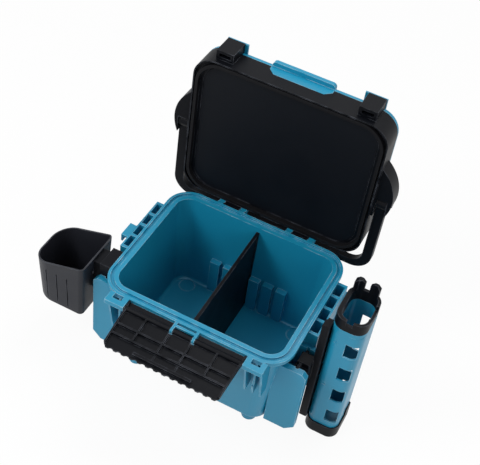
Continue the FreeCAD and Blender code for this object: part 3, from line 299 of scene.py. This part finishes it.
def finish_material(name, colour, rough, wear_and_highlight_colour, wear_and_highlight=0.35, mottle=0.12, metallic=0.0,
                    specular=0.5):
    """A moulded surface: grain, slow unevenness and paler, duller edges, whose paler colour is
    partly wear and partly a painted highlight.
    """
    sizes = bpy.context.scene.seat_box_sizes
    material = bpy.data.materials.new(name + "_finish")
    material.use_nodes = True
    tree = material.node_tree
    shader = tree.nodes["Principled BSDF"]
    shader.inputs["Metallic"].default_value = metallic
    shader.inputs["Specular IOR Level"].default_value = specular
    place = tree.nodes.new("ShaderNodeTexCoord").outputs["Object"]
    grains = group_node(tree, "Moulded grain", place, Size=sizes.grain)
    edges = group_node(tree, "Rubbed edge and painted highlight", place, Reach=sizes.wear_and_highlight, Strength=wear_and_highlight)
    cloud = group_node(tree, "Mottle", place, Amount=mottle)

    shade = tree.nodes.new("ShaderNodeHueSaturation")
    shade.inputs["Color"].default_value = (*colour, 1)
    tree.links.new(math_node(tree, "ADD", cloud.outputs[0], 1.0), shade.inputs["Value"])
    mix = tree.nodes.new("ShaderNodeMix")
    mix.data_type = "RGBA"
    # edges take a paler colour, partly wear and partly a painted highlight
    mix.inputs["B"].default_value = (*wear_and_highlight_colour, 1)
    tree.links.new(edges.outputs[0], mix.inputs["Factor"])
    tree.links.new(shade.outputs[0], mix.inputs["A"])
    tree.links.new(mix.outputs["Result"], shader.inputs["Base Color"])

    spread = math_node(tree, "MULTIPLY", grains.outputs["Spread"], GLOSS_SPREAD)
    gloss = math_node(tree, "ADD", spread, rough)
    dulled = math_node(tree, "MULTIPLY", edges.outputs[0], WORN_DULLNESS)
    tree.links.new(math_node(tree, "ADD", gloss, dulled, clamp=True),
                   shader.inputs["Roughness"])
    relief = tree.nodes.new("ShaderNodeBump")
    relief.inputs["Distance"].default_value = GRAIN_RELIEF
    relief.inputs["Strength"].default_value = GRAIN_STRENGTH
    tree.links.new(grains.outputs["Height"], relief.inputs["Height"])
    tree.links.new(relief.outputs[0], shader.inputs["Normal"])


# meshes

def add_piece(name, mesh, body, replaced=()):
    piece = bpy.data.objects.new(name, mesh)
    bpy.context.scene.collection.objects.link(piece)
    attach(piece, body)
    if replaced:
        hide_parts(*replaced)
    return piece


def baked(piece):
    """The mesh that an object's modifiers make of it."""
    graph = bpy.context.evaluated_depsgraph_get()
    return bpy.data.meshes.new_from_object(piece.evaluated_get(graph))


def softened(node, material, width, smooth=True):
    """A CAD node's mesh, merged, with its edges rounded and its flat faces shaded flat.

    Wide faces are cut into triangles again, because the rounding folds those that go
    round a pocket.  Without smooth, every face keeps its own plane's shading.
    """
    form = bmesh.new()
    form.from_mesh(frame["nodes"][node].data)
    bmesh.ops.remove_doubles(form, verts=form.verts, dist=MERGE_DISTANCE)
    bmesh.ops.dissolve_limit(form, angle_limit=FLAT_ANGLE, verts=form.verts,
                             edges=form.edges)
    wide = [face for face in form.faces if len(face.verts) > 4]
    bmesh.ops.triangulate(form, faces=wide, ngon_method="EAR_CLIP")
    mesh = bpy.data.meshes.new(node + "_form")
    form.to_mesh(mesh)
    form.free()
    for face in mesh.polygons:
        face.use_smooth = smooth
        face.material_index = 0
    mesh.materials.clear()
    mesh.materials.append(material)
    trial = bpy.data.objects.new(node + "_trial", mesh)
    bpy.context.scene.collection.objects.link(trial)
    bevel = trial.modifiers.new("Edges", "BEVEL")
    bevel.width = width
    bevel.segments = EDGE_SEGMENTS
    bevel.limit_method = "ANGLE"
    bevel.angle_limit = EDGE_ANGLE
    bevel.miter_outer = "MITER_ARC"
    bevel.face_strength_mode = "FSTR_ALL"
    normals = trial.modifiers.new("Normals", "WEIGHTED_NORMAL")
    normals.use_face_influence = True
    result = baked(trial)
    bpy.data.objects.remove(trial)
    result.name = node + "_mesh"
    return result


def dress(node, body, slot, material, width, **options):
    """Stands a rounded, finished copy in a CAD node's place."""
    mesh = softened(node, material, width, **options)
    return add_piece(node + "_moulded", mesh, body, (node,))


def body_of(node):
    groups = frame["record"]["behaviour"]["bodies"]
    return next(body for body, nodes in groups.items() if node in nodes)


def slot_of(node):
    return next(s["material_slot"] for s in frame["record"]["subparts"] if s["node"] == node)


def dress_all(nodes, width, finish=None, **options):
    for node in nodes:
        slot = slot_of(node)
        material = bpy.data.materials[(finish or slot) + "_finish"]
        dress(node, body_of(node), slot, material, width, **options)


# repeated details

def repeat_tree(name, shape, settings):
    """A grid of one small shape; settings are the inputs that size the shape."""
    tree = bpy.data.node_groups.new(name, "GeometryNodeTree")
    for label, kind in (("Columns", "Int"), ("Rows", "Int"), ("Column step", "Float"),
                        ("Row step", "Float"), *((label, "Float") for label in settings),
                        ("Finish", "Material")):
        tree.interface.new_socket(label, in_out="INPUT", socket_type="NodeSocket" + kind)
    tree.interface.new_socket("Geometry", in_out="OUTPUT", socket_type="NodeSocketGeometry")
    given = tree.nodes.new("NodeGroupInput").outputs
    grid = tree.nodes.new("GeometryNodeMeshGrid")
    for count, step, points, size in (("Columns", "Column step", "Vertices X", "Size X"),
                                      ("Rows", "Row step", "Vertices Y", "Size Y")):
        gaps = math_node(tree, "SUBTRACT", given[count], 1.0)
        tree.links.new(math_node(tree, "MULTIPLY", gaps, given[step]), grid.inputs[size])
        tree.links.new(given[count], grid.inputs[points])
    placed = tree.nodes.new("GeometryNodeInstanceOnPoints")
    tree.links.new(grid.outputs["Mesh"], placed.inputs["Points"])
    tree.links.new(shape(tree, given), placed.inputs["Instance"])
    joined = tree.nodes.new("GeometryNodeRealizeInstances")
    tree.links.new(placed.outputs["Instances"], joined.inputs["Geometry"])
    finish = tree.nodes.new("GeometryNodeSetMaterial")
    tree.links.new(joined.outputs["Geometry"], finish.inputs["Geometry"])
    tree.links.new(given["Finish"], finish.inputs["Material"])
    out = tree.nodes.new("NodeGroupOutput")
    tree.links.new(finish.outputs["Geometry"], out.inputs["Geometry"])
    return tree


def stud_shape(tree, given):
    """A low dome, as a flattened ball half sunk in its face."""
    ball = tree.nodes.new("GeometryNodeMeshUVSphere")
    ball.inputs["Segments"].default_value = STUD_SEGMENTS
    ball.inputs["Rings"].default_value = STUD_RINGS
    flat = tree.nodes.new("GeometryNodeTransform")
    size = tree.nodes.new("ShaderNodeCombineXYZ")
    for axis, label in (("X", "Radius"), ("Y", "Radius"), ("Z", "Height")):
        tree.links.new(given[label], size.inputs[axis])
    tree.links.new(ball.outputs["Mesh"], flat.inputs["Geometry"])
    tree.links.new(size.outputs[0], flat.inputs["Scale"])
    return flat.outputs["Geometry"]


def rib_shape(tree, given):
    """A straight rib, as a bar half sunk in its face."""
    bar = tree.nodes.new("GeometryNodeMeshCube")
    size = tree.nodes.new("ShaderNodeCombineXYZ")
    for axis, label in (("X", "Width"), ("Y", "Length"), ("Z", "Height")):
        tree.links.new(given[label], size.inputs[axis])
    tree.links.new(size.outputs[0], bar.inputs["Size"])
    return bar.outputs["Mesh"]


def repeated(name, tree, place, body, slot, finish, bevel=0.0, **values):
    """Makes one plain mesh of a tree's details and puts it where place says."""
    piece = bpy.data.objects.new(name + "_trial", bpy.data.meshes.new(name + "_start"))
    bpy.context.scene.collection.objects.link(piece)
    modifier = piece.modifiers.new("Details", "NODES")
    modifier.node_group = tree
    values["Finish"] = bpy.data.materials[finish + "_finish"]
    for item in tree.interface.items_tree:
        if item.in_out == "INPUT":
            modifier[item.identifier] = values[item.name]
    if bevel:
        softer = piece.modifiers.new("Edges", "BEVEL")
        softer.width = bevel
        softer.segments = RIB_SEGMENTS
    mesh = baked(piece)
    bpy.data.objects.remove(piece)
    mesh.name = name + "_mesh"
    mesh.transform(place)
    for face in mesh.polygons:
        face.use_smooth = True
    return add_piece(name, mesh, body)


# operators

class SEATBOX_OT_finishes(bpy.types.Operator):
    """Builds the shader groups and every finish"""
    bl_idname = "seatbox.finishes"
    bl_label = "Finishes"

    def execute(self, context):
        colours = context.scene.seat_box_colours
        grain_group()
        wear_and_highlight_group()
        mottle_group()
        # each finish's paler edge colour is partly wear and partly a painted highlight; the
        # shell's near-white edge is mostly painted highlight
        finish_material("shell_blue", colours.blue, 0.36, srgb(190, 226, 238), wear_and_highlight=0.8,
                        specular=0.4)
        finish_material("stud_blue", colours.blue, 0.5, srgb(60, 160, 190), wear_and_highlight=0.1,
                        specular=0.3)
        finish_material("black_plastic", colours.black, 0.42, srgb(104, 108, 118), wear_and_highlight=0.7,
                        specular=0.1)
        finish_material("panel_black", colours.panel, 0.5, srgb(80, 84, 92), mottle=0.2,
                        specular=0.12)
        # the drink holder's finish is the black plastic painted paler, standing in for the
        # light on its front faces
        finish_material("cup_painted_lit_plastic", colours.cup_painted_lit, 0.5, srgb(120, 124, 132), wear_and_highlight=0.4,
                        specular=0.25)
        finish_material("seal_rubber", colours.rubber, 0.6, srgb(40, 40, 44), wear_and_highlight=0.2,
                        specular=0.15)
        finish_material("pad_rubber", colours.rubber, 0.7, srgb(50, 50, 52), wear_and_highlight=0.3,
                        specular=0.15)
        finish_material("pin_steel", colours.steel, 0.3, srgb(210, 210, 214), metallic=1.0)
        return {"FINISHED"}


class SEATBOX_OT_tub(bpy.types.Operator):
    """Dresses the tub, its rails, pads and pins"""
    bl_idname = "seatbox.tub"
    bl_label = "Tub"

    def execute(self, context):
        sizes = context.scene.seat_box_sizes
        dress_all(["tub_shell"], sizes.edge)
        dress_all(["side_rail_left", "side_rail_right"], sizes.fine_edge)
        dress_all([n for n in frame["nodes"] if n.startswith("foot_pad")], sizes.fine_edge)
        dress_all([n for n in frame["nodes"] if "_pin_" in n], sizes.fine_edge * PIN_EDGE_SHARE)
        return {"FINISHED"}


class SEATBOX_OT_lid(bpy.types.Operator):
    """Dresses the lid: frame, cover, inner panel and seal"""
    bl_idname = "seatbox.lid"
    bl_label = "Lid"

    def execute(self, context):
        sizes = context.scene.seat_box_sizes
        dress_all(["lid_frame", "lid_cover"], sizes.edge)
        dress_all(["lid_panel", "lid_seal"], sizes.fine_edge)
        low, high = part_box("lid_cover")
        middle = Vector(((low[0] + high[0]) / 2, SEAT_MIDDLE_Y, SEAT_HEIGHT))
        tree = repeat_tree("Seat studs", stud_shape, ("Radius", "Height"))
        repeated("seat_studs", tree, LID_OPEN @ Matrix.Translation(middle), "lid",
                 slot_of("lid_cover"), "stud_blue",
                 **{"Columns": sizes.stud_columns, "Rows": SEAT_ROWS, "Column step": STUD_STEP,
                    "Row step": SEAT_ROW_STEP, "Radius": sizes.stud_radius,
                    "Height": sizes.stud_height})
        return {"FINISHED"}


class SEATBOX_OT_handle(bpy.types.Operator):
    """Dresses the bail handle"""
    bl_idname = "seatbox.handle"
    bl_label = "Handle"

    def execute(self, context):
        dress_all(["handle_bail"], context.scene.seat_box_sizes.edge * HANDLE_EDGE_SHARE)
        return {"FINISHED"}


class SEATBOX_OT_latch(bpy.types.Operator):
    """Dresses the ribbed front latch"""
    bl_idname = "seatbox.latch"
    bl_label = "Latch"

    def execute(self, context):
        dress_all(["latch_panel"], context.scene.seat_box_sizes.fine_edge, smooth=False)
        return {"FINISHED"}


class SEATBOX_OT_divider(bpy.types.Operator):
    """Dresses the divider plate"""
    bl_idname = "seatbox.divider"
    bl_label = "Divider"

    def execute(self, context):
        dress_all(["divider"], context.scene.seat_box_sizes.fine_edge)
        return {"FINISHED"}


class SEATBOX_OT_drink_holder(bpy.types.Operator):
    """Dresses the drink holder and its bracket"""
    bl_idname = "seatbox.drink_holder"
    bl_label = "Drink holder"

    def execute(self, context):
        sizes = context.scene.seat_box_sizes
        dress_all(["cup_bracket"], sizes.edge * CUP_EDGE_SHARE)
        # the cup takes the paler black, painted light for its lit front faces
        dress_all(["cup_holder"], sizes.edge * CUP_EDGE_SHARE, finish="cup_painted_lit_plastic")
        low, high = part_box("cup_holder")
        middle = Vector(((low[0] + high[0]) / 2, (low[1] + high[1]) / 2, low[2] + CUP_FLOOR))
        tree = repeat_tree("Cup ribs", rib_shape, ("Width", "Length", "Height"))
        repeated("cup_floor_ribs", tree, Matrix.Translation(middle), "drink_holder",
                 slot_of("cup_holder"), "seal_rubber", bevel=CUP_RIB_EDGE,
                 **{"Columns": sizes.rib_count, "Rows": 1, "Column step": CUP_RIB_STEP,
                    "Row step": 0.0, "Width": CUP_RIB_WIDTH, "Length": CUP_RIB_LENGTH,
                    "Height": CUP_RIB_HEIGHT})
        return {"FINISHED"}


class SEATBOX_OT_rod_stand(bpy.types.Operator):
    """Dresses the rod stand's tower, crown, bracket and foot"""
    bl_idname = "seatbox.rod_stand"
    bl_label = "Rod stand"

    def execute(self, context):
        width = context.scene.seat_box_sizes.edge
        dress_all(["rod_tower", "rod_crown", "rod_bracket", "rod_foot"], width)
        return {"FINISHED"}


class SEATBOX_OT_studio(bpy.types.Operator):
    """Sets the floor, the lamps, the world and the camera"""
    bl_idname = "seatbox.studio"
    bl_label = "Studio"

    def execute(self, context):
        floor()
        world()
        lamps()
        camera()
        context.scene.view_settings.view_transform = "Standard"
        return {"FINISHED"}


# studio

def sight(tree):
    """One for the rays that look, straight or by a mirror or glass, and nought for light."""
    seen = tree.nodes.new("ShaderNodeLightPath").outputs
    looks = math_node(tree, "ADD", seen["Is Camera Ray"], seen["Is Glossy Ray"], clamp=True)
    return math_node(tree, "ADD", looks, seen["Is Transmission Ray"], clamp=True)


def floor():
    mesh = bpy.data.meshes.new("floor")
    form = bmesh.new()
    bmesh.ops.create_grid(form, x_segments=2, y_segments=2, size=FLOOR_HALF)
    form.to_mesh(mesh)
    form.free()
    ground = bpy.data.objects.new("floor", mesh)
    ground.location.z = -FLOOR_DROP
    bpy.context.scene.collection.objects.link(ground)
    material = bpy.data.materials.new("floor")
    material.use_nodes = True
    tree = material.node_tree
    tree.nodes.clear()
    matte = tree.nodes.new("ShaderNodeBsdfDiffuse")
    matte.inputs["Color"].default_value = (FLOOR_PALE, FLOOR_PALE, FLOOR_PALE, 1)
    glow = tree.nodes.new("ShaderNodeEmission")
    share = math_node(tree, "MULTIPLY", sight(tree), FLOOR_GLOW)
    mix = tree.nodes.new("ShaderNodeMixShader")
    out = tree.nodes.new("ShaderNodeOutputMaterial")
    tree.links.new(share, mix.inputs[0])
    tree.links.new(matte.outputs[0], mix.inputs[1])
    tree.links.new(glow.outputs[0], mix.inputs[2])
    tree.links.new(mix.outputs[0], out.inputs[0])
    mesh.materials.append(material)


def world():
    sky = bpy.data.worlds.new("studio")
    sky.use_nodes = True
    tree = sky.node_tree
    background = tree.nodes["Background"]
    background.inputs["Color"].default_value = (1, 1, 1, 1)
    extra = math_node(tree, "MULTIPLY", sight(tree), 1 - WORLD_LIGHT)
    tree.links.new(math_node(tree, "ADD", extra, WORLD_LIGHT), background.inputs["Strength"])
    bpy.context.scene.world = sky


def lamp(name, place, size, power):
    light = bpy.data.lights.new(name, "AREA")
    light.size = size
    light.energy = power
    shown = bpy.data.objects.new(name, light)
    shown.location = place
    shown.rotation_mode = "QUATERNION"
    aim = Vector(LAMP_AIM) - Vector(place)
    shown.rotation_quaternion = aim.to_track_quat("-Z", "Y")
    bpy.context.scene.collection.objects.link(shown)


def lamps():
    for name, place, size, power in LAMPS:
        lamp(name, place, size, power)


def camera():
    """The photograph's view, with its slight roll."""
    turn, rise, roll = CAMERA_TURN, CAMERA_RISE, CAMERA_ROLL
    aim = Vector(CAMERA_AIM)
    back = Vector((math.sin(turn) * math.cos(rise), -math.cos(turn) * math.cos(rise),
                   math.sin(rise)))
    right = Vector((math.cos(turn), math.sin(turn), 0))
    up = back.cross(right)
    tilted = math.cos(roll) * right + math.sin(roll) * up
    upright = math.cos(roll) * up - math.sin(roll) * right
    eye = bpy.data.cameras.new("camera")
    eye.sensor_width = SENSOR_WIDTH
    eye.lens = SENSOR_WIDTH * FOCAL_PIXELS / PICTURE_WIDTH
    eye.clip_end = 50
    shown = bpy.data.objects.new("camera", eye)
    axes = Matrix((tilted, upright, back)).transposed()
    shown.matrix_world = Matrix.Translation(aim + back * CAMERA_AWAY) @ axes.to_4x4()
    bpy.context.scene.collection.objects.link(shown)
    bpy.context.scene.camera = shown


class SEATBOX_PT_panel(bpy.types.Panel):
    """Lists the steps that dress the seat box"""
    bl_idname = "SEATBOX_PT_panel"
    bl_label = "Seat box"
    bl_space_type = "VIEW_3D"
    bl_region_type = "UI"
    bl_category = "Seat Box"

    def draw(self, context):
        for step in STEPS:
            self.layout.operator(step.bl_idname)
        for group in (context.scene.seat_box_sizes, context.scene.seat_box_colours):
            for name in group.__annotations__:
                self.layout.prop(group, name)


STEPS = (SEATBOX_OT_finishes, SEATBOX_OT_tub, SEATBOX_OT_lid, SEATBOX_OT_handle,
         SEATBOX_OT_latch, SEATBOX_OT_divider, SEATBOX_OT_drink_holder,
         SEATBOX_OT_rod_stand, SEATBOX_OT_studio)
CLASSES = (SeatBoxSizes, SeatBoxColours, *STEPS, SEATBOX_PT_panel)


def register():
    for cls in CLASSES:
        bpy.utils.register_class(cls)
    bpy.types.Scene.seat_box_sizes = PointerProperty(type=SeatBoxSizes)
    bpy.types.Scene.seat_box_colours = PointerProperty(type=SeatBoxColours)


def unregister():
    del bpy.types.Scene.seat_box_colours
    del bpy.types.Scene.seat_box_sizes
    for cls in reversed(CLASSES):
        bpy.utils.unregister_class(cls)


def main():
    register()
    for step in STEPS:
        group, name = step.bl_idname.split(".")
        getattr(getattr(bpy.ops, group), name)()


if __name__ == "__main__":
    main()
